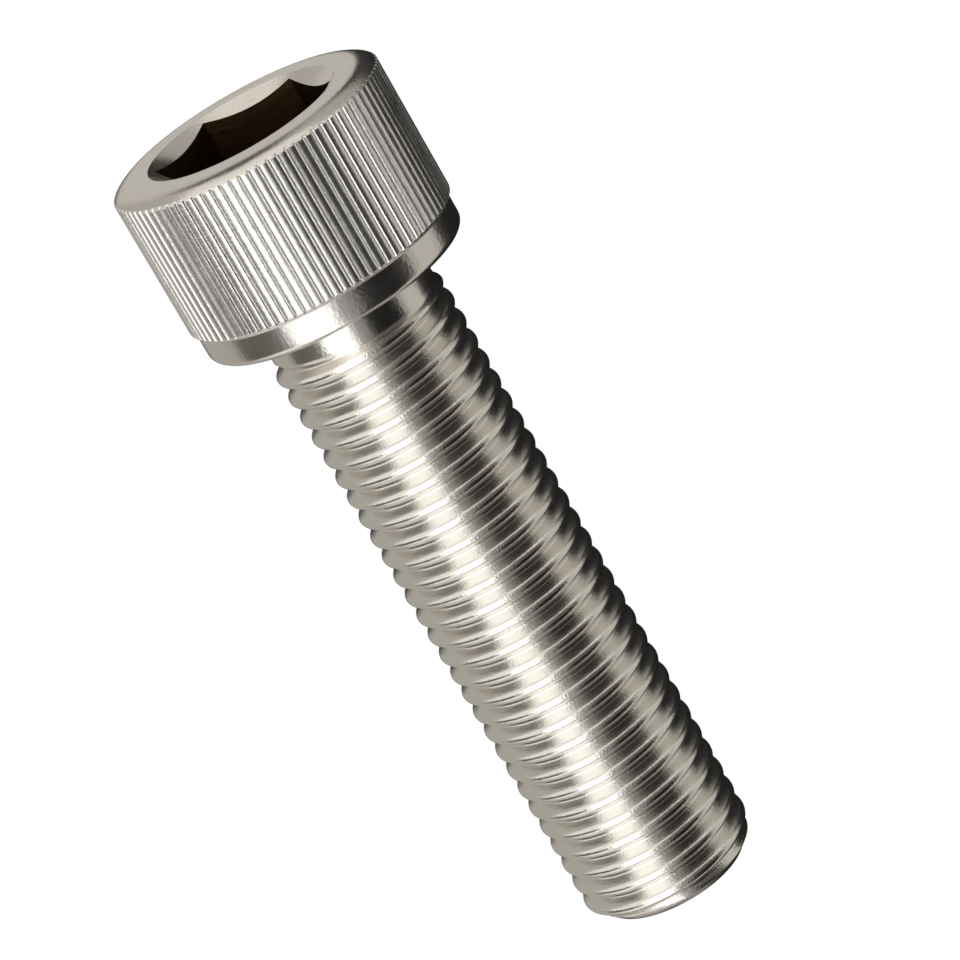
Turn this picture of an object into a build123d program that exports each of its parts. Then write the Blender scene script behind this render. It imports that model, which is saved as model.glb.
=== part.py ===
import os
from math import cos, pi, radians, sin, tan

from build123d import *

# A hexagon socket head cap screw in millimetres, threaded over its whole shank.
# It stands on its head: the head's face lies on z = 0 and the tip points up along +Z.

# Shank
thread_diameter = 16.0
screw_length = 60.0
tip_diameter = 13.0
tip_chamfer_angle = 45.0

# Plain neck between the head and the thread
neck_diameter = 15.0
neck_length = 3.1
neck_ramp_angle = 45.0
neck_fillet = 0.8

# Head
head_diameter = 24.33
head_height = 16.0
face_diameter = 20.4
edge_dome_height = 0.6

# Straight knurl round the head, and the plain band below it
knurl_teeth = 88
knurl_depth = 0.3
knurl_lead_angle = 45.0
knurl_runout = 0.5
band_diameter = 23.5
band_height = 2.6
band_corner_radius = 0.7

# Hexagon socket
socket_width = 14.0
socket_depth = 8.0
socket_mouth_diameter = 17.2
socket_mouth_angle = 120.0
socket_floor_angle = 120.0

# Radii and heights that follow from the sizes above
thread_radius = thread_diameter / 2
tip_radius = tip_diameter / 2
neck_radius = neck_diameter / 2
head_radius = head_diameter / 2
face_radius = face_diameter / 2
band_radius = band_diameter / 2
knurl_root_radius = head_radius - knurl_depth
blank_radius = head_radius + knurl_depth / 2
socket_flat_radius = socket_width / 2
mouth_radius = socket_mouth_diameter / 2

bearing_z = head_height
tip_z = head_height + screw_length
tip_chamfer_z = tip_z - (thread_radius - tip_radius) / tan(radians(tip_chamfer_angle))
neck_end_z = bearing_z + neck_length
thread_start_z = neck_end_z + (thread_radius - neck_radius) / tan(radians(neck_ramp_angle))
knurl_lead_z = edge_dome_height + (blank_radius - knurl_root_radius) / tan(radians(knurl_lead_angle))
band_z = bearing_z - band_height
knurl_end_z = band_z - knurl_runout
mouth_cone_height = mouth_radius / tan(radians(socket_mouth_angle / 2))
floor_cone_height = socket_flat_radius / tan(radians(socket_floor_angle / 2))

with BuildPart() as screw:
    # Head and shank, turned round Z
    with BuildSketch(Plane.XZ):
        with BuildLine():
            Line((0, 0), (face_radius, 0))
            TangentArc((face_radius, 0), (knurl_root_radius, edge_dome_height), tangent=(1, 0))
            Polyline(
                (knurl_root_radius, edge_dome_height),
                (blank_radius, knurl_lead_z),
                (blank_radius, knurl_end_z),
                (band_radius, band_z),
                (band_radius, bearing_z - band_corner_radius),
            )
            TangentArc(
                (band_radius, bearing_z - band_corner_radius),
                (band_radius - band_corner_radius, bearing_z),
                tangent=(0, 1),
            )
            Line((band_radius - band_corner_radius, bearing_z), (neck_radius + neck_fillet, bearing_z))
            TangentArc(
                (neck_radius + neck_fillet, bearing_z),
                (neck_radius, bearing_z + neck_fillet),
                tangent=(-1, 0),
            )
            Polyline(
                (neck_radius, bearing_z + neck_fillet),
                (neck_radius, neck_end_z),
                (thread_radius, thread_start_z),
                (thread_radius, tip_chamfer_z),
                (tip_radius, tip_z),
                (0, tip_z),
                (0, 0),
            )
        make_face()
    revolve(axis=Axis.Z)

    # V gaps of the knurl, whose flanks meet in the crest of each tooth
    with BuildSketch(Plane.XY):
        half_tooth_angle = pi / knurl_teeth
        crest = Vector(head_radius * cos(half_tooth_angle), head_radius * sin(half_tooth_angle))
        root = Vector(knurl_root_radius, 0)
        beyond = root + (crest - root) * 2
        with PolarLocations(0, knurl_teeth):
            Polygon(
                (root.X, root.Y),
                (beyond.X, beyond.Y),
                (beyond.X, -beyond.Y),
                align=None,
            )
    extrude(amount=band_z, mode=Mode.SUBTRACT)

    # Hexagon socket, with corners towards +X and -X
    with BuildSketch(Plane.XY):
        RegularPolygon(radius=socket_flat_radius, side_count=6, major_radius=False)
    extrude(amount=socket_depth, mode=Mode.SUBTRACT)

    # Countersunk mouth and conical floor of the socket
    with BuildSketch(Plane.XZ):
        with BuildLine():
            Polyline((0, 0), (mouth_radius, 0), (0, mouth_cone_height), close=True)
        make_face()
        with BuildLine():
            Polyline(
                (0, socket_depth - floor_cone_height),
                (socket_flat_radius, socket_depth),
                (0, socket_depth + floor_cone_height),
                close=True,
            )
        make_face()
    revolve(axis=Axis.Z, mode=Mode.SUBTRACT)

screw.part.label = "socket_head_cap_screw"

os.makedirs("parts", exist_ok=True)
export_step(screw.part, "parts/socket_head_cap_screw.step")
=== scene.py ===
import logging
import math
from dataclasses import dataclass
from enum import Enum
from typing import Dict, List, Optional, Sequence, Tuple

import bmesh
import bpy
from mathutils import Matrix, Vector


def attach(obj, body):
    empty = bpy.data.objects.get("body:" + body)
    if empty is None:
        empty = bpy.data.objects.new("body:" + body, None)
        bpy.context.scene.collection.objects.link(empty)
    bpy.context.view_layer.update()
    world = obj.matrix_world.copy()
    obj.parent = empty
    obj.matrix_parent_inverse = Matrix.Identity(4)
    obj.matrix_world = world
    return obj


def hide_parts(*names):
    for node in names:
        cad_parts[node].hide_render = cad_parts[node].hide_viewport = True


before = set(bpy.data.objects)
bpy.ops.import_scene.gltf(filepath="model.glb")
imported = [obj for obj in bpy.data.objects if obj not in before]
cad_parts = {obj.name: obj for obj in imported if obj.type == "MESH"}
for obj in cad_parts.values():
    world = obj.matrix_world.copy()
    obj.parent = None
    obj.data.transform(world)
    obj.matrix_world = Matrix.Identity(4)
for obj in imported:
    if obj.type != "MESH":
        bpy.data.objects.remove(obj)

log = logging.getLogger("screw")

Colour = Tuple[float, float, float, float]
Profile = List[Tuple[float, float]]

MM = 0.001
NODE = "socket_head_cap_screw"

# More than a stored coordinate can be off by, in mm.
ROUNDING = 0.001

# The plain neck, and the height on it where the head's mesh meets the shank's, in mm.
NECK_RADIUS = 7.5
NECK_JOINT = 17.5


class Surface(Enum):
    """The screw's differently worked surfaces. The value is the material index on its meshes."""

    TURNED = 0
    KNURLED = 1
    ROLLED = 2
    PUNCHED = 3


def linear(hex_colour: str) -> Colour:
    """Turns an sRGB hex colour into the linear values that a shader works with.

    Args:
        hex_colour: Six hex digits with a leading hash.

    Returns:
        Red, green, blue and an alpha of 1.
    """
    parts = [int(hex_colour[i:i + 2], 16) / 255 for i in (1, 3, 5)]
    red, green, blue = (c / 12.92 if c <= 0.04045 else ((c + 0.055) / 1.055) ** 2.4 for c in parts)
    return red, green, blue, 1.0


def even(low: float, high: float, steps: int) -> List[float]:
    """Evenly spaced values from low to high, both included."""
    return [low + (high - low) * i / steps for i in range(steps + 1)]


def arc(
    centre: Tuple[float, float], radius: float, start: float, end: float, steps: int
) -> Profile:
    """Points along an arc in the (radius, height) plane, ends included.

    Args:
        centre: Radius and height of the arc's centre, in mm.
        radius: The arc's radius, in mm.
        start: Angle of the first point, in degrees from the outward direction towards +Z.
        end: Angle of the last point, in degrees.
        steps: Number of steps between the ends.

    Returns:
        The points as (radius, height), in mm.
    """
    turn = [math.radians(angle) for angle in even(start, end, steps)]
    return [(centre[0] + radius * math.cos(t), centre[1] + radius * math.sin(t)) for t in turn]


def node(
    tree: bpy.types.NodeTree,
    kind: str,
    links: Optional[Dict[object, bpy.types.NodeSocket]] = None,
    values: Optional[Dict[object, object]] = None,
    **settings: object,
) -> bpy.types.Node:
    """Adds a node with its settings, values and links.

    Args:
        tree: The node tree.
        kind: The node's type.
        links: Source sockets, by the name or number of the input they feed.
        values: Values of inputs that nothing feeds, by the input's name or number.
        settings: Values of the node's own properties.

    Returns:
        The new node.
    """
    made = tree.nodes.new(kind)
    for name, value in settings.items():
        setattr(made, name, value)
    for key, value in (values or {}).items():
        made.inputs[key].default_value = value
    for key, socket in (links or {}).items():
        tree.links.new(socket, made.inputs[key])
    return made


@dataclass(frozen=True)
class Finish:
    """Stainless steel as one working step left it. Lengths in mm, colours in sRGB hex.

    Attributes:
        name: The material's name.
        colour: Colour of the clean steel.
        roughness: Roughness halfway between its smoother and its duller patches.
        mark_spacing: Distance between the tool marks, which run round Z.
        mark_depth: Depth of the tool marks.
        pit_spacing: Distance between the pits.
        pit_depth: Depth of the pits.
        stain: Colour of the stain in the duller patches.
        stain_share: How much of the stain the dullest patch takes on.
        root_radius: Distance from the axis up to which the painted shade and oil are thickest. 0 is
            for none.
        root_fade: Distance over which the painted shade and oil thin out.
        root_shade_and_oil: Colour of the painted shade and oil in the roots.
        mark_run: Distance that a mark runs before another takes its place.
        mark_tilt: Weight of the way outwards, beside the way up, in the spacing of the marks,
            so that they circle flat and sloping faces too.
        patch_spacing: Distance between the patches.
        patch_contrast: Share by which the patches move the roughness up and down.
    """

    name: str
    colour: str
    roughness: float
    mark_spacing: float
    mark_depth: float
    pit_spacing: float
    pit_depth: float
    stain: str = "#000000"
    stain_share: float = 0.0
    root_radius: float = 0.0
    root_fade: float = 0.3
    # Painted shade, with oil, in the thread's roots.
    root_shade_and_oil: str = "#7d766c"
    mark_run: float = 16.667
    mark_tilt: float = 0.7
    patch_spacing: float = 3.0
    patch_contrast: float = 0.2

    def material(self) -> bpy.types.Material:
        """Returns the material, made on its first use."""
        known = bpy.data.materials.get(self.name)
        return known if known else self.make()

    def make(self) -> bpy.types.Material:
        """Makes the material: steel in patches, with tool marks and pits as relief.

        Returns:
            The new material.
        """
        material = bpy.data.materials.new(self.name)
        material.use_nodes = True
        tree = material.node_tree
        where = node(tree, "ShaderNodeTexCoord").outputs["Object"]
        off_axis = self.distance_from_axis(tree, where)
        patches = self.noise(tree, where, 1 / (self.patch_spacing * MM), 3.0)
        rough = node(
            tree,
            "ShaderNodeMapRange",
            links={"Value": patches},
            values={
                "To Min": self.roughness * (1 - self.patch_contrast),
                "To Max": self.roughness * (1 + self.patch_contrast),
            },
        )
        shader = tree.nodes["Principled BSDF"]
        shader.inputs["Metallic"].default_value = 1.0
        for source, name in (
            (self.with_root_shade_and_oil(tree, off_axis, self.stained(tree, patches)), "Base Color"),
            (rough.outputs["Result"], "Roughness"),
            (self.relief(tree, where, off_axis), "Normal"),
        ):
            tree.links.new(source, shader.inputs[name])
        return material

    def distance_from_axis(
        self, tree: bpy.types.NodeTree, where: bpy.types.NodeSocket
    ) -> bpy.types.NodeSocket:
        """Adds the shaded point's distance from the screw's axis.

        Args:
            tree: The material's node tree.
            where: The point's place.

        Returns:
            The distance, in metres.
        """
        flat = node(
            tree,
            "ShaderNodeVectorMath",
            operation="MULTIPLY",
            links={0: where},
            values={1: (1.0, 1.0, 0.0)},
        )
        away = node(
            tree, "ShaderNodeVectorMath", operation="LENGTH", links={0: flat.outputs["Vector"]}
        )
        return away.outputs["Value"]

    def noise(
        self, tree: bpy.types.NodeTree, where: bpy.types.NodeSocket, scale: float, detail: float
    ) -> bpy.types.NodeSocket:
        """Adds a noise pattern.

        Args:
            tree: The material's node tree.
            where: The place that the pattern is read at.
            scale: Number of its bumps in one unit of the place.
            detail: Number of its finer layers.

        Returns:
            The pattern, between 0 and 1.
        """
        pattern = node(
            tree,
            "ShaderNodeTexNoise",
            links={"Vector": where},
            values={"Scale": scale, "Detail": detail},
        )
        return pattern.outputs["Fac"]

    def stained(
        self, tree: bpy.types.NodeTree, patches: bpy.types.NodeSocket
    ) -> bpy.types.NodeSocket:
        """Adds the steel's colour, stained where its patches are dull.

        Args:
            tree: The material's node tree.
            patches: How dull the patch is, between 0 and 1.

        Returns:
            The colour.
        """
        bare = linear(self.colour)
        dull = [
            a * (1 - self.stain_share) + b * self.stain_share
            for a, b in zip(bare, linear(self.stain))
        ]
        mix = node(
            tree,
            "ShaderNodeMix",
            data_type="RGBA",
            links={"Factor": patches},
            values={"A": bare, "B": dull},
        )
        return mix.outputs["Result"]

    def with_root_shade_and_oil(
        self,
        tree: bpy.types.NodeTree,
        off_axis: bpy.types.NodeSocket,
        colour: bpy.types.NodeSocket,
    ) -> bpy.types.NodeSocket:
        """Darkens the thread's roots with painted shade and oil, by the distance from the axis.

        Args:
            tree: The material's node tree.
            off_axis: Distance from the screw's axis, in metres.
            colour: The steel's colour.

        Returns:
            The colour with its painted root shade and oil, or as it came for a finish without them.
        """
        if not self.root_radius:
            return colour
        # Painted shade, with oil, in the thread's roots: darker towards the axis.
        bare = node(
            tree,
            "ShaderNodeMapRange",
            interpolation_type="SMOOTHSTEP",
            links={"Value": off_axis},
            values={
                "From Min": self.root_radius * MM,
                "From Max": (self.root_radius + self.root_fade) * MM,
            },
        )
        mix = node(
            tree,
            "ShaderNodeMix",
            data_type="RGBA",
            links={"Factor": bare.outputs["Result"], "B": colour},
            values={"A": linear(self.root_shade_and_oil)},
        )
        return mix.outputs["Result"]

    def relief(
        self,
        tree: bpy.types.NodeTree,
        where: bpy.types.NodeSocket,
        off_axis: bpy.types.NodeSocket,
    ) -> bpy.types.NodeSocket:
        """Adds the tool marks round Z, and the pits on top of them.

        Args:
            tree: The material's node tree.
            where: The place of the shaded point.
            off_axis: Its distance from the screw's axis, in metres.

        Returns:
            The bumped normal.
        """
        height = node(tree, "ShaderNodeSeparateXYZ", links={0: where})
        reach = node(
            tree,
            "ShaderNodeMath",
            operation="MULTIPLY_ADD",
            links={0: off_axis, 2: height.outputs["Z"]},
            values={1: self.mark_tilt},
        )
        rings = node(
            tree,
            "ShaderNodeMath",
            operation="DIVIDE",
            links={0: reach.outputs["Value"]},
            values={1: self.mark_spacing * MM},
        )
        lift = node(tree, "ShaderNodeCombineXYZ", links={"Z": rings.outputs["Value"]})
        across = 1 / (self.mark_run * MM)
        drift = node(
            tree,
            "ShaderNodeMapping",
            links={"Vector": where},
            values={"Scale": (across, across, 0.0)},
        )
        around = node(
            tree,
            "ShaderNodeVectorMath",
            operation="ADD",
            links={0: drift.outputs["Vector"], 1: lift.outputs["Vector"]},
        )
        marks = node(
            tree,
            "ShaderNodeBump",
            links={"Height": self.noise(tree, around.outputs["Vector"], 1.0, 3.0)},
            values={"Strength": 1.0, "Distance": self.mark_depth * MM},
        )
        pits = node(
            tree,
            "ShaderNodeBump",
            links={
                "Height": self.noise(tree, where, 1 / (self.pit_spacing * MM), 2.0),
                "Normal": marks.outputs["Normal"],
            },
            values={"Strength": 1.0, "Distance": self.pit_depth * MM},
        )
        return pits.outputs["Normal"]


# Turned stainless steel of the face, the band, the neck and the tip: pale and warm, with rings
# that catch the light. Real turning marks lie some 0.05 mm apart, too fine to show, so they are
# drawn at 0.12 mm.
TURNED_STEEL = Finish(
    name="stainless_steel_turned",
    colour="#e6e2dc",
    roughness=0.22,
    mark_spacing=0.12,
    mark_depth=0.006,
    pit_spacing=0.3,
    pit_depth=0.014,
)

# Knurled stainless steel: each ridge flashes white or goes dark with the way it leans. The mesh
# carries the ridges, and the marks are the faint steps that the wheel left on them.
KNURLED_STEEL = Finish(
    name="stainless_steel_knurled",
    colour="#f1efec",
    roughness=0.3,
    mark_spacing=0.4,
    mark_depth=0.015,
    pit_spacing=0.25,
    pit_depth=0.02,
)

# Rolled stainless steel of the thread: bright, burnished crests over roots darkened with painted
# shade and oil. The scratches along its turns are finer than 0.02 mm, too fine to show, so they are
# drawn at 0.09 mm, and its pits at 0.16 mm.
ROLLED_STEEL = Finish(
    name="stainless_steel_thread_rolled",
    colour="#ebe8e2",
    roughness=0.2,
    mark_spacing=0.09,
    mark_depth=0.006,
    pit_spacing=0.16,
    pit_depth=0.018,
    # Painted shade, with oil, darkens the roots up to this radius.
    root_radius=6.7,
)

# Punched stainless steel of the socket: dull, brown with oxide and darkened with painted shade of
# the recess, torn in steps of about half a millimetre.
PUNCHED_STEEL = Finish(
    name="stainless_steel_punched",
    # Dark brown: oxide, darkened further with painted shade of the recess.
    colour="#6b5238",
    roughness=0.34,
    mark_spacing=0.5,
    mark_depth=0.02,
    pit_spacing=0.6,
    pit_depth=0.03,
    stain="#20150c",
    stain_share=0.5,
)

FINISHES: Dict[Surface, Finish] = {
    Surface.TURNED: TURNED_STEEL,
    Surface.KNURLED: KNURLED_STEEL,
    Surface.ROLLED: ROLLED_STEEL,
    Surface.PUNCHED: PUNCHED_STEEL,
}


class Turned:
    """A body turned round Z, spun with bmesh from chains of vertices."""

    def __init__(self, name: str) -> None:
        """Starts a body of that name, with nothing in it."""
        self.name = name
        self.bm = bmesh.new()

    def spin(
        self, profile: Profile, columns: int, rise: float = 0.0
    ) -> List[bmesh.types.BMFace]:
        """Spins a profile once round Z.

        Args:
            profile: Points as (radius, height), in mm.
            columns: Number of steps round the turn.
            rise: Height gained over the turn, in mm. The seam of a helix is left to `weld`.

        Returns:
            The faces that the spin made.
        """
        verts = [self.bm.verts.new((r * MM, 0.0, z * MM)) for r, z in profile]
        edges = [self.bm.edges.new(pair) for pair in zip(verts, verts[1:])]
        before = set(self.bm.faces)
        bmesh.ops.spin(
            self.bm,
            geom=verts + edges,
            cent=(0, 0, 0),
            axis=(0, 0, 1),
            dvec=(0, 0, rise * MM / columns),
            angle=math.tau,
            steps=columns,
            use_merge=rise == 0.0,
            use_duplicate=False,
        )
        return [f for f in self.bm.faces if f not in before]

    def weld(self, distance: float = 0.0005) -> None:
        """Merges vertices closer than a distance in mm."""
        bmesh.ops.remove_doubles(self.bm, verts=self.bm.verts[:], dist=distance * MM)

    def tag(self, faces: Sequence[bmesh.types.BMFace], surface: Surface) -> None:
        """Gives faces the material of one surface."""
        for face in faces:
            face.material_index = surface.value

    def fill(self, rim: Sequence[bmesh.types.BMEdge], surface: Surface) -> None:
        """Closes a ring of open edges with one face of a surface."""
        self.tag(bmesh.ops.edgeloop_fill(self.bm, edges=rim)["faces"], surface)

    def cap(self, height: float, surface: Surface, keep_above: bool = False) -> None:
        """Cuts the body flat, drops one side and closes the cut.

        Args:
            height: Height of the cut, in mm.
            surface: The surface of the new face.
            keep_above: Keeps what lies above the cut instead of what lies below it.
        """
        cut = bmesh.ops.bisect_plane(
            self.bm,
            geom=self.bm.verts[:] + self.bm.edges[:] + self.bm.faces[:],
            plane_co=(0, 0, height * MM),
            plane_no=(0, 0, -1 if keep_above else 1),
            clear_outer=True,
        )
        self.fill([e for e in cut["geom_cut"] if isinstance(e, bmesh.types.BMEdge)], surface)

    def finish(self, sharp_angle: float) -> bpy.types.Object:
        """Turns the body into an object that stands for the screw's node.

        Args:
            sharp_angle: Angle in degrees above which an edge stays sharp.

        Returns:
            The object, linked to the scene and dressed in the finishes.
        """
        bmesh.ops.recalc_face_normals(self.bm, faces=self.bm.faces[:])
        for face in self.bm.faces:
            face.smooth = True
        limit = math.radians(sharp_angle)
        for edge in self.bm.edges:
            edge.smooth = len(edge.link_faces) == 2 and edge.calc_face_angle(0.0) < limit
        mesh = bpy.data.meshes.new(self.name)
        self.bm.to_mesh(mesh)
        self.bm.free()
        for surface in Surface:
            mesh.materials.append(FINISHES[surface].material())
        piece = bpy.data.objects.new(self.name, mesh)
        bpy.context.scene.collection.objects.link(piece)
        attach(piece, "root")
        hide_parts(NODE)
        log.info("%s: %d faces", self.name, len(mesh.polygons))
        return piece


@dataclass
class Head:
    """The knurled head that the screw stands on, with its hexagon socket and the neck's foot.

    Sizes are in mm, and heights count from the head's face.

    Attributes:
        face_radius: Radius of the flat face, where the rounded edge begins.
        blank_margin: What the blank is proud of the knurl's crests by, so that they end in it.
        knurl_runout: Height over which the knurl runs out towards the plain band.
        neck_joint: Height at which the shank's mesh takes over.
        socket_flat: Distance from the axis to the middle of a wall.
        cone_angle: Full angle of the cones of the socket's mouth and floor, in degrees.
        floor_shares: Radii of the rows on the socket's floor, as shares of socket_flat.
        sharp_angle: Angle in degrees above which an edge stays sharp.
    """

    height: float = 16.0
    radius: float = 12.165
    face_radius: float = 10.2
    dome_height: float = 0.6
    knurl_teeth: int = 88
    knurl_depth: float = 0.2
    knurl_runout: float = 0.5
    blank_margin: float = 0.1
    band_radius: float = 11.75
    band_height: float = 2.6
    band_corner: float = 0.7
    neck_radius: float = NECK_RADIUS
    neck_fillet: float = 0.8
    neck_joint: float = NECK_JOINT
    socket_flat: float = 7.0
    socket_depth: float = 8.0
    mouth_radius: float = 8.6
    cone_angle: float = 120.0
    columns_per_tooth: int = 6
    curve_steps: int = 8
    dome_steps: int = 10
    knurl_rows: int = 12
    band_rows: int = 4
    face_rows: int = 3
    wall_rows: int = 8
    mouth_rows: int = 6
    floor_shares: Tuple[float, ...] = (0.01, 0.2, 0.45, 0.7, 0.9, 1.0)
    sharp_angle: float = 28.0

    def slope(self) -> float:
        """Radius lost per height on the cones of the socket's mouth and floor."""
        return math.tan(math.radians(self.cone_angle / 2))

    def mouth_depth(self) -> float:
        """Depth to which the countersink cuts the middle of each wall."""
        return (self.mouth_radius - self.socket_flat) / self.slope()

    def root_radius(self) -> float:
        """Radius of the knurl's gaps."""
        return self.radius - self.knurl_depth

    def band_z(self) -> float:
        """Height at which the plain band begins."""
        return self.height - self.band_height

    def socket(self) -> Profile:
        """The socket from its floor's middle to the countersink, its wall still round.

        Returns:
            The points as (radius, height).
        """
        cone = self.socket_flat / self.slope()
        floor = [(self.socket_flat * s, self.socket_depth + cone * (1 - s))
                 for s in self.floor_shares]
        wall = [(self.mouth_radius, z)
                for z in even(self.socket_depth, self.mouth_depth(), self.wall_rows)]
        return floor + wall

    def mouth(self) -> Profile:
        """The countersink's rows, from 0 at the wall to -1 at its rim, for `shape_mouth`."""
        return [(self.mouth_radius, -s) for s in even(0.0, 1.0, self.mouth_rows)]

    def face(self) -> Profile:
        """The flat face, from the countersink's rim to just before the rounded edge."""
        radii = even(self.mouth_radius, self.face_radius, self.face_rows)
        return [(r, 0.0) for r in radii[:-1]]

    def dome(self) -> Profile:
        """The rounded edge from the flat face to the root of the knurl.

        Returns:
            The points as (radius, height).
        """
        across = self.root_radius() - self.face_radius
        radius = (across ** 2 + self.dome_height ** 2) / (2 * self.dome_height)
        end = math.degrees(math.asin(across / radius)) - 90
        return arc((self.face_radius, radius), radius, -90.0, end, self.dome_steps)

    def side(self) -> Profile:
        """The outside from the root of the knurl over the underside to the middle of the neck.

        Returns:
            The points as (radius, height), with the knurled part as a plain blank.
        """
        root = self.root_radius()
        blank = self.radius + self.blank_margin
        lead_end = self.dome_height + blank - root
        drop = blank - self.band_radius
        lead = [(root + s, self.dome_height + s) for s in even(0.0, blank - root, self.curve_steps)]
        knurl = [(blank, z)
                 for z in even(lead_end, self.band_z() - self.knurl_runout, self.knurl_rows)]
        runout = [(blank - drop * s, self.band_z() + self.knurl_runout * (s - 1))
                  for s in even(0.0, 1.0, self.curve_steps)]
        corner_z = self.height - self.band_corner
        band = [(self.band_radius, z) for z in even(self.band_z(), corner_z, self.band_rows)]
        corner_centre = (self.band_radius - self.band_corner, corner_z)
        corner = arc(corner_centre, self.band_corner, 0.0, 90.0, self.curve_steps)
        fillet_centre = (self.neck_radius + self.neck_fillet, self.height + self.neck_fillet)
        fillet = arc(fillet_centre, self.neck_fillet, 270.0, 180.0, self.curve_steps)
        foot = [(self.neck_radius, self.neck_joint)]
        return lead[1:] + knurl[1:] + runout[1:-1] + band[:-1] + corner + fillet + foot

    def knurl_radius(self, angle: float) -> float:
        """Radius of the knurled surface, with round crests and narrow gaps.

        Args:
            angle: Angle round Z, in radians.

        Returns:
            The radius.
        """
        share = (angle / math.tau * self.knurl_teeth) % 1.0
        from_crest = abs(2.0 * share - 1.0)
        return self.radius - self.knurl_depth * from_crest ** 4

    def hexagon_radius(self, angle: float) -> float:
        """Radius of the socket's wall at an angle round Z, in radians. Corners point along X."""
        sixth = math.tau / 6
        return self.socket_flat / math.cos((angle % sixth) - sixth / 2)

    def build(self) -> bpy.types.Object:
        """Builds the head as one closed mesh.

        Returns:
            The head's object.
        """
        body = Turned("screw_head")
        columns = self.knurl_teeth * self.columns_per_tooth
        edge = self.dome()
        for profile, surface, shape in (
            (self.socket(), Surface.PUNCHED, self.shape_wall),
            (self.mouth(), Surface.TURNED, self.shape_mouth),
            (self.face() + edge, Surface.TURNED, None),
            (edge[-1:] + self.side(), Surface.KNURLED, self.shape_knurl),
        ):
            known = set(body.bm.verts)
            faces = body.spin(profile, columns)
            body.tag(faces, surface)
            if shape:
                for vert in body.bm.verts:
                    if vert not in known:
                        shape(vert)
            if surface is Surface.KNURLED:
                band = self.band_z() * MM
                body.tag([f for f in faces if f.calc_center_median().z > band], Surface.TURNED)
        body.weld()
        open_edges = [e for e in body.bm.edges if e.is_boundary]
        middle = [e for e in open_edges if e.verts[0].co.xy.length < self.socket_flat * MM]
        foot = [e for e in open_edges if e not in middle]
        body.fill(middle, Surface.PUNCHED)
        body.fill(foot, Surface.TURNED)
        return body.finish(self.sharp_angle)

    def shape_wall(self, vert: bmesh.types.BMVert) -> None:
        """Moves the socket's wall onto the hexagon, and its last row onto the countersink.

        Args:
            vert: A vertex of the socket. Those of its floor stay where they are.
        """
        x, y, z = vert.co / MM
        radius = math.hypot(x, y)
        if radius > self.socket_flat + ROUNDING:
            wall = self.hexagon_radius(math.atan2(y, x))
            if z < self.mouth_depth() + ROUNDING:
                z = (self.mouth_radius - wall) / self.slope()
            vert.co = Vector((x * wall / radius, y * wall / radius, z)) * MM

    def shape_mouth(self, vert: bmesh.types.BMVert) -> None:
        """Moves a row of the countersink onto its cone, from the hexagon's wall outwards.

        Args:
            vert: A vertex of the countersink. Its height is its row, from 0 to -1.
        """
        x, y, row = vert.co / MM
        wall = self.hexagon_radius(math.atan2(y, x))
        radius = wall - (self.mouth_radius - wall) * row
        scale = radius / math.hypot(x, y)
        height = (self.mouth_radius - radius) / self.slope()
        vert.co = Vector((x * scale, y * scale, height)) * MM

    def shape_knurl(self, vert: bmesh.types.BMVert) -> None:
        """Holds the head's side inside the teeth of the knurl.

        Args:
            vert: A vertex of the side. Those from the plain band on stay where they are.
        """
        x, y, z = vert.co / MM
        radius = math.hypot(x, y)
        if z < self.band_z() - ROUNDING:
            inside = min(radius, self.knurl_radius(math.atan2(y, x)))
            vert.co = Vector((x * inside / radius, y * inside / radius, z)) * MM


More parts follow.
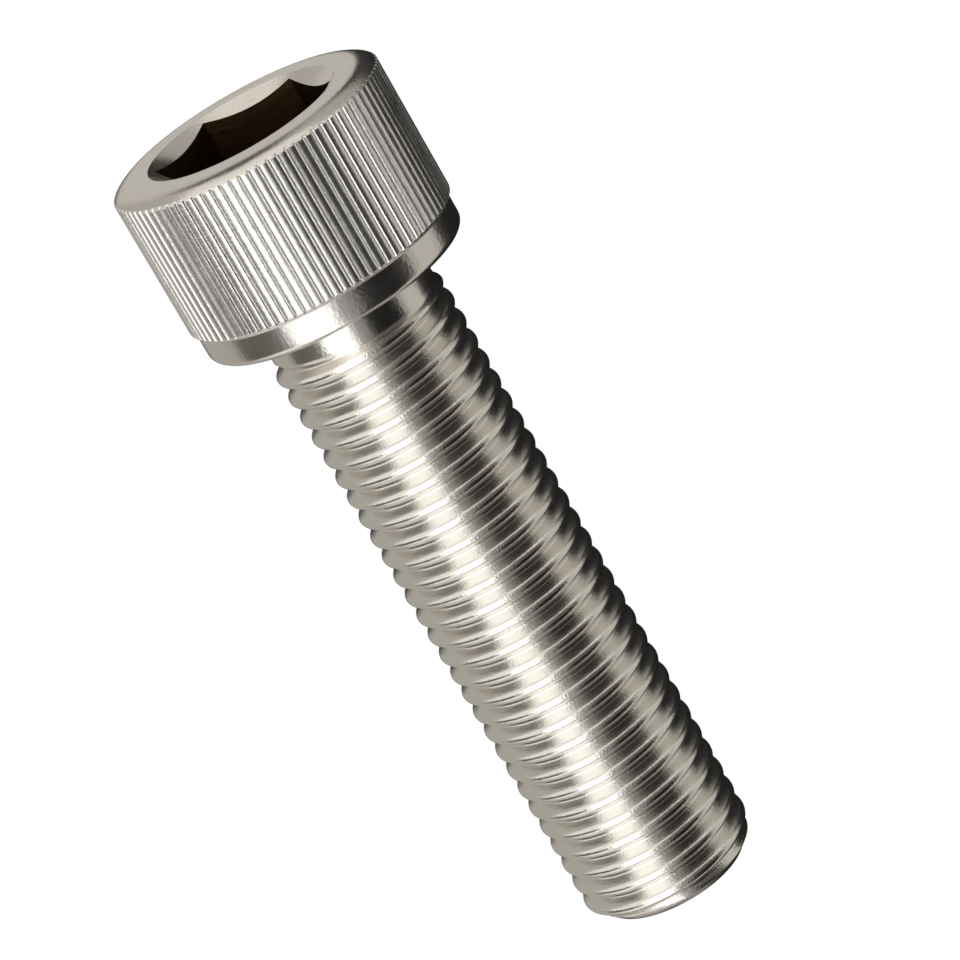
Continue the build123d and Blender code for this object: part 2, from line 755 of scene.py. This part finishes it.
@dataclass
class Shank:
    """The rolled right-hand thread, its run-out into the neck and the chamfered tip.

    Sizes are in mm, and heights count from the head's face.

    Attributes:
        start: Height at which the head's mesh ends.
        tip_radius: Radius of the tip's flat end, inside its chamfer of 45 degrees.
        neck_end: Height at which the neck widens towards the thread, at 45 degrees.
        crest_radius: Radius that a thread's crest is rounded with.
        root_radius: Radius that a thread's root is rounded with.
        flank_angle: Half the angle between two flanks, in degrees.
        first_crest: Height of the crest, at an angle of 0 round Z, that the turns count from.
        first_turn: Number of turns from there to the thread's full depth.
        fade_turns: Number of turns over which the thread runs out before that.
        chamfer_margin: How far inside the chamfer the middle of a face on it may lie.
        sharp_angle: Angle in degrees above which an edge stays sharp.
    """

    start: float = NECK_JOINT
    end: float = 76.0
    radius: float = 8.0
    pitch: float = 2.0
    tip_radius: float = 6.5
    neck_radius: float = NECK_RADIUS
    neck_end: float = 19.1
    crest_radius: float = 0.505
    root_radius: float = 0.2
    flank_angle: float = 30.0
    first_crest: float = 0.44
    first_turn: float = 9.0
    fade_turns: float = 0.5
    columns: int = 120
    crest_steps: int = 8
    root_steps: int = 2
    chamfer_margin: float = 0.03
    sharp_angle: float = 40.0

    def tooth(self) -> Profile:
        """One pitch of the thread, from root to root over a full round crest.

        Returns:
            The points as (radius, height), from height 0.
        """
        flank = math.radians(self.flank_angle)
        lean = 90.0 - self.flank_angle
        crest_centre = (self.radius - self.crest_radius, self.pitch / 2)
        crest = arc(crest_centre, self.crest_radius, -lean, lean, self.crest_steps)
        apex = self.radius + self.crest_radius * (1 / math.sin(flank) - 1)
        root = apex - self.pitch / 2 / math.tan(flank) + self.root_radius / math.sin(flank)
        low = arc((root, 0.0), self.root_radius, 180.0, 180.0 - lean, self.root_steps)
        high = arc((root, self.pitch), self.root_radius, 180.0 + lean, 180.0, self.root_steps)
        return low + crest + high

    def chamfer_start(self) -> float:
        """Height at which the tip's chamfer begins."""
        return self.end - (self.radius - self.tip_radius)

    def limit(self, radius: float, height: float) -> float:
        """The radius that the neck and the tip's chamfer leave.

        Args:
            radius: The radius to be cut down.
            height: Its height.

        Returns:
            The radius, or less.
        """
        neck = self.neck_radius + max(0.0, height - self.neck_end)
        tip = self.radius - (height - self.chamfer_start())
        return min(radius, neck, tip)

    def build(self) -> bpy.types.Object:
        """Builds the shank as one closed mesh, cut from a thread that runs on at both ends.

        Returns:
            The shank's object.
        """
        body = Turned("screw_shank")
        base = self.first_crest - self.pitch / 2
        first = int((self.start - base) / self.pitch) - 1
        last = int((self.end - base) / self.pitch) + 1
        tooth = self.tooth()[:-1]
        profile = [(r, z + base + n * self.pitch) for n in range(first, last + 1) for r, z in tooth]
        body.spin(profile, self.columns, self.pitch)
        body.weld()
        for vert in body.bm.verts:
            self.shape(vert)
        body.cap(self.end, Surface.TURNED)
        body.cap(self.start, Surface.TURNED, keep_above=True)
        for face in body.bm.faces:
            turned = self.is_turned(face.calc_center_median() / MM)
            body.tag([face], Surface.TURNED if turned else Surface.ROLLED)
        return body.finish(self.sharp_angle)

    def is_turned(self, centre: Vector) -> bool:
        """Whether a face belongs to the neck, the chamfer or the tip's flat end.

        Args:
            centre: The middle of the face, in mm.

        Returns:
            True for those, and False for the thread.
        """
        edge = self.limit(self.radius, centre.z) - self.chamfer_margin
        on_chamfer = centre.z > self.chamfer_start() and centre.xy.length > edge
        return centre.z < self.neck_end or on_chamfer or centre.z > self.end - ROUNDING

    def shape(self, vert: bmesh.types.BMVert) -> None:
        """Moves a vertex of the endless thread to the neck, the run-out or the chamfer.

        The run-out follows the turn that the vertex's groove has reached, so it keeps step with
        the helix.

        Args:
            vert: The vertex.
        """
        x, y, z = vert.co / MM
        radius = math.hypot(x, y)
        turn = math.atan2(y, x) % math.tau / math.tau
        groove = round((z - self.first_crest - self.pitch / 2) / self.pitch - turn)
        fade = min(1.0, max(0.0, (groove + turn - self.first_turn) / self.fade_turns + 1.0))
        full = self.radius - (self.radius - radius) * fade
        wanted = self.limit(full, z)
        vert.co = Vector((x * wanted / radius, y * wanted / radius, z)) * MM


def glowing(name: str, strength: float, tint: str) -> bpy.types.Material:
    """Makes a plain glowing material.

    Args:
        name: The material's name.
        strength: Its brightness.
        tint: Its colour, as sRGB hex.

    Returns:
        The material.
    """
    material = bpy.data.materials.new(name)
    material.use_nodes = True
    tree = material.node_tree
    tree.nodes.clear()
    values = {"Color": linear(tint), "Strength": strength}
    shine = node(tree, "ShaderNodeEmission", values=values)
    node(tree, "ShaderNodeOutputMaterial", links={"Surface": shine.outputs["Emission"]})
    return material


def stand_in_studio(
    name: str, bm: bmesh.types.BMesh, material: bpy.types.Material
) -> bpy.types.Object:
    """Turns a bmesh into a studio object, which lights no matt surface and casts no shadow.

    Args:
        name: The object's name.
        bm: The bmesh, freed here.
        material: The object's material.

    Returns:
        The object, linked to the scene.
    """
    mesh = bpy.data.meshes.new(name)
    bm.to_mesh(mesh)
    bm.free()
    mesh.materials.append(material)
    piece = bpy.data.objects.new(name, mesh)
    bpy.context.scene.collection.objects.link(piece)
    piece.visible_diffuse = False
    piece.visible_shadow = False
    return piece


@dataclass(frozen=True)
class Card:
    """A bent card that stands round the screw and shows only in its reflections.

    Attributes:
        name: The card's name.
        middle: Angle of its middle from the camera's side, in degrees. To the right is positive.
        width: Angle that it spans round the screw, in degrees.
        low: Elevation of its lower edge seen from the screw, in degrees.
        high: Elevation of its upper edge, in degrees.
        glow: Its brightness.
        tint: Its colour, as sRGB hex.
        distance: Its distance from the screw's axis, in mm.
        eye: Height that the elevations are seen from, in mm.
        steps: Number of its flat strips.
    """

    name: str
    middle: float
    width: float
    low: float
    high: float
    glow: float
    tint: str = "#ffffff"
    distance: float = 420.0
    eye: float = 38.0
    steps: int = 8

    def build(self, camera_side: float) -> bpy.types.Object:
        """Stands the card up, bent round the screw.

        Args:
            camera_side: Angle round Z of the side that faces the camera, in degrees.

        Returns:
            The card's object.
        """
        bm = bmesh.new()
        turn = math.radians(camera_side - self.middle)
        half = math.radians(self.width / 2)
        rows = []
        for elevation in (self.low, self.high):
            height = self.eye + self.distance * math.tan(math.radians(elevation))
            rows.append([
                bm.verts.new(
                    Vector((self.distance * math.cos(a), self.distance * math.sin(a), height)) * MM
                )
                for a in (turn + half * s for s in even(-1.0, 1.0, self.steps))
            ])
        low, high = rows
        for i in range(self.steps):
            bm.faces.new((low[i], low[i + 1], high[i + 1], high[i]))
        card = stand_in_studio(self.name, bm, glowing(self.name, self.glow, self.tint))
        card.visible_camera = False
        return card


# The photograph's surroundings as the steel mirrors them. Each row is a card's name, its middle
# and width round the screw, its lower and upper edge, its glow and its tint. Neighbours meet
# without a gap where the steel mirrors them, because the white world would show there as a thin
# bright line.
CARDS = (
    Card("key_light", -31.5, 43.0, -44.0, 76.0, 1.55),
    Card("front_grey", 0.5, 21.0, -50.0, 70.0, 0.3, "#f8f5f0"),
    Card("dark_right", 37.0, 52.0, -6.0, 82.0, 0.008),
    Card("low_right", 37.0, 52.0, -78.0, -6.0, 0.11, "#f2ebdc"),
    Card("stripe_right", 82.0, 38.0, -50.0, 70.0, 0.62, "#f6f2ea"),
    Card("dark_far_right", 137.0, 72.0, -38.0, 76.0, 0.012),
    Card("low_far_right", 137.0, 72.0, -74.0, -38.0, 0.45, "#f4efe6"),
    Card("high_left", -78.0, 52.0, 30.0, 80.0, 1.0, "#f6f2ec"),
    Card("mid_left", -78.0, 52.0, 2.0, 30.0, 0.12, "#ece5d9"),
    Card("low_left", -78.0, 52.0, -62.0, 2.0, 0.95, "#f6f2ec"),
    Card("beige_left", -132.0, 56.0, -56.0, 70.0, 0.5, "#f0ebe2"),
    Card("back", 187.0, 28.0, -42.0, -8.0, 0.62, "#f4efe7"),
    Card("high_back", 187.0, 28.0, -8.0, 66.0, 0.06, "#dfe6e3"),
    Card("dark_back", 187.0, 28.0, -66.0, -42.0, 0.05),
)


@dataclass
class Studio:
    """Camera, white surroundings, cards and floor. Lengths in mm, angles in degrees.

    Attributes:
        target: The point that the camera looks at.
        azimuth: The camera's angle round Z, from straight in front.
        elevation: The camera's angle above the horizon.
        roll: Turn of the picture round its own middle.
        clip: Nearest and farthest distance that the camera sees.
        soft_white: Brightness of the world for all but the camera and reflections.
        lid_height: Height of the round cards above and below the screw.
        floor_gap: Distance from the head's face down to the floor.
        floor_solid: Distance from the screw up to which the floor is solid.
        floor_gone: Distance from which it is clear.
    """

    target: Tuple[float, float, float] = (-2.290, 0.416, 36.481)
    distance: float = 398.763
    azimuth: float = -10.3
    elevation: float = -18.816
    roll: float = -150.0
    lens: float = 180.31
    sensor: float = 36.0
    clip: Tuple[float, float] = (10.0, 10000.0)
    soft_white: float = 0.9
    lid_height: float = 900.0
    lid_radius: float = 1200.0
    lid_segments: int = 48
    top_glow: float = 0.4
    top_tint: str = "#f4f0ea"
    bottom_glow: float = 0.95
    bottom_tint: str = "#f6f1ea"
    floor_colour: str = "#fafafa"
    floor_roughness: float = 0.9
    floor_gap: float = 0.2
    floor_radius: float = 900.0
    floor_segments: int = 96
    floor_solid: float = 60.0
    floor_gone: float = 300.0

    def build(self) -> None:
        """Sets up everything round the screw."""
        self.add_camera()
        self.add_world()
        for card in CARDS:
            card.build(self.azimuth - 90.0)
        self.add_lid("top", self.lid_height, self.top_glow, self.top_tint)
        self.add_lid("bottom", -self.lid_height, self.bottom_glow, self.bottom_tint)
        self.add_floor()

    def add_camera(self) -> None:
        """Places the camera below the screw's middle, rolled as in the photograph."""
        data = bpy.data.cameras.new("camera")
        data.lens = self.lens
        data.sensor_width = self.sensor
        data.clip_start, data.clip_end = (c * MM for c in self.clip)
        camera = bpy.data.objects.new("camera", data)
        bpy.context.scene.collection.objects.link(camera)
        a, e = math.radians(self.azimuth), math.radians(self.elevation)
        back = Vector((math.sin(a) * math.cos(e), -math.cos(a) * math.cos(e), math.sin(e)))
        level = back.to_track_quat("Z", "Y").to_matrix()
        tilt = Matrix.Rotation(math.radians(-self.roll), 3, "Z")
        camera.rotation_mode = "QUATERNION"
        camera.rotation_quaternion = (level @ tilt).to_quaternion()
        camera.location = (Vector(self.target) + back * self.distance) * MM
        bpy.context.scene.camera = camera

    def add_world(self) -> None:
        """Makes the world white for the camera and in reflections, and softer for the rest."""
        world = bpy.data.worlds.new("white")
        bpy.context.scene.world = world
        world.use_nodes = True
        tree = world.node_tree
        tree.nodes.clear()
        path = node(tree, "ShaderNodeLightPath")
        seen = node(
            tree,
            "ShaderNodeMath",
            operation="ADD",
            links={0: path.outputs["Is Camera Ray"], 1: path.outputs["Is Transmission Ray"]},
        )
        both = node(
            tree,
            "ShaderNodeMath",
            operation="ADD",
            use_clamp=True,
            links={0: seen.outputs["Value"], 1: path.outputs["Is Glossy Ray"]},
        )
        strength = node(
            tree,
            "ShaderNodeMapRange",
            links={"Value": both.outputs["Value"]},
            values={"To Min": self.soft_white, "To Max": 1.0},
        )
        sky = node(
            tree,
            "ShaderNodeBackground",
            links={"Strength": strength.outputs["Result"]},
            values={"Color": linear("#ffffff")},
        )
        node(tree, "ShaderNodeOutputWorld", links={"Surface": sky.outputs["Background"]})

    def add_lid(self, name: str, height: float, glow: float, tint: str) -> None:
        """Lays a round card above or below the screw.

        Args:
            name: The card's name.
            height: Its height, in mm.
            glow: Its brightness.
            tint: Its colour, as sRGB hex.
        """
        disc = self.disc(self.lid_radius, self.lid_segments, height)
        stand_in_studio(name, disc, glowing(name, glow, tint)).visible_camera = False

    def add_floor(self) -> None:
        """Lays a pale floor that reflections don't show."""
        disc = self.disc(self.floor_radius, self.floor_segments, -self.floor_gap)
        stand_in_studio("floor", disc, self.floor_material()).visible_glossy = False

    def disc(self, radius: float, segments: int, height: float) -> bmesh.types.BMesh:
        """Makes a flat disc round Z.

        Args:
            radius: Its radius, in mm.
            segments: Number of sides that stand for its round rim.
            height: Its height, in mm.

        Returns:
            A new bmesh.
        """
        bm = bmesh.new()
        bmesh.ops.create_circle(bm, cap_ends=True, segments=segments, radius=radius * MM)
        bmesh.ops.translate(bm, verts=bm.verts[:], vec=(0, 0, height * MM))
        return bm

    def floor_material(self) -> bpy.types.Material:
        """Makes the floor's material: matt and pale for a camera above it and near the screw.

        Seen from below, or farther off, it is clear, so the background there stays white.

        Returns:
            The material.
        """
        material = bpy.data.materials.new("floor")
        material.use_nodes = True
        tree = material.node_tree
        shader = tree.nodes["Principled BSDF"]
        shader.inputs["Base Color"].default_value = linear(self.floor_colour)
        shader.inputs["Roughness"].default_value = self.floor_roughness
        path = node(tree, "ShaderNodeLightPath")
        side = node(tree, "ShaderNodeNewGeometry")
        front = node(
            tree,
            "ShaderNodeMath",
            operation="SUBTRACT",
            use_clamp=True,
            links={0: path.outputs["Is Camera Ray"], 1: side.outputs["Backfacing"]},
        )
        where = node(tree, "ShaderNodeTexCoord")
        far = node(
            tree, "ShaderNodeVectorMath", operation="LENGTH", links={0: where.outputs["Object"]}
        )
        fade = node(
            tree,
            "ShaderNodeMapRange",
            interpolation_type="SMOOTHSTEP",
            links={"Value": far.outputs["Value"]},
            values={
                "From Min": self.floor_solid * MM,
                "From Max": self.floor_gone * MM,
                "To Min": 1.0,
                "To Max": 0.0,
            },
        )
        shown = node(
            tree,
            "ShaderNodeMath",
            operation="MULTIPLY",
            links={0: front.outputs["Value"], 1: fade.outputs["Result"]},
        )
        clear = node(tree, "ShaderNodeBsdfTransparent")
        mix = node(
            tree,
            "ShaderNodeMixShader",
            links={0: shown.outputs["Value"], 1: clear.outputs["BSDF"], 2: shader.outputs["BSDF"]},
        )
        surface = tree.nodes["Material Output"].inputs["Surface"]
        tree.links.new(mix.outputs["Shader"], surface)
        return material


def main() -> None:
    """Builds the screw and its surroundings in order."""
    logging.basicConfig(level=logging.INFO)
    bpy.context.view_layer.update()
    bpy.context.scene.view_settings.view_transform = "Standard"
    Head().build()
    Shank().build()
    Studio().build()


if __name__ == "__main__":
    main()
